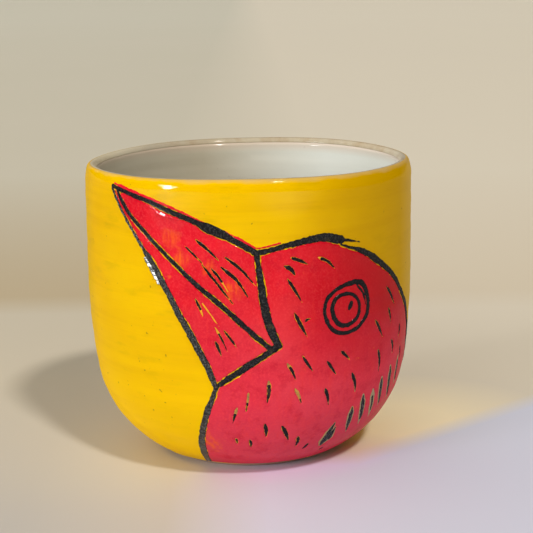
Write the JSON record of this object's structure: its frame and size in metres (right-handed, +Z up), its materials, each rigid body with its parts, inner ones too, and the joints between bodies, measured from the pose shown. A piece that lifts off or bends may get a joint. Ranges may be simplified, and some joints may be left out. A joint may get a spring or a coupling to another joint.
{
  "type": "drinking cup",
  "caption": "Handle-less rounded ceramic drinking cup, glazed inside and out, with a red bird's head drawn on a yellow ground; stands on a small foot ring.",
  "frame": {"origin": "centre of the foot ring, on the plane the cup stands on", "axes": "+Z up along the cup's axis, towards the open lip; the bird's face is on the -Y side and its beak points to -X and up"},
  "size_m": [0.0924, 0.0928, 0.0835],
  "materials": {
    "bare_clay": "unglazed, matt, fired",
    "white_glaze": "gloss white",
    "lip_glaze": "thin gloss glaze over pinkish clay",
    "yellow_slip": "gloss yellow, faintly brushed",
    "red_slip": "gloss red, brushed",
    "black_line": "black, slightly rough, under gloss",
    "black_stroke": "black, thin, worn through in places"
  },
  "bodies": {
    "root": {"clay_body": "bare_clay", "liner_glaze": "white_glaze", "lip_glaze": "lip_glaze", "yellow_coat": "yellow_slip", "red_upper_beak": "red_slip", "red_lower_beak": "red_slip", "red_beak_margin": "red_slip", "red_head": "red_slip", "red_eye": "red_slip", "beak_top_line": "black_line", "mouth_line": "black_line", "beak_bottom_line": "black_line", "beak_base_line": "black_line", "jaw_line": "black_line", "throat_line": "black_line", "crown_line": "black_line", "nape_line": "black_line", "eye_outer_ring": "black_line", "eye_inner_ring": "black_line", "pupil": "black_line", "upper_beak_strokes": "black_stroke", "lower_beak_strokes": "black_stroke", "crown_strokes": "black_stroke", "cheek_strokes": "black_stroke", "nape_strokes": "black_stroke", "neck_strokes": "black_stroke", "neck_grooves": "black_stroke"}
  },
  "joints": []
}
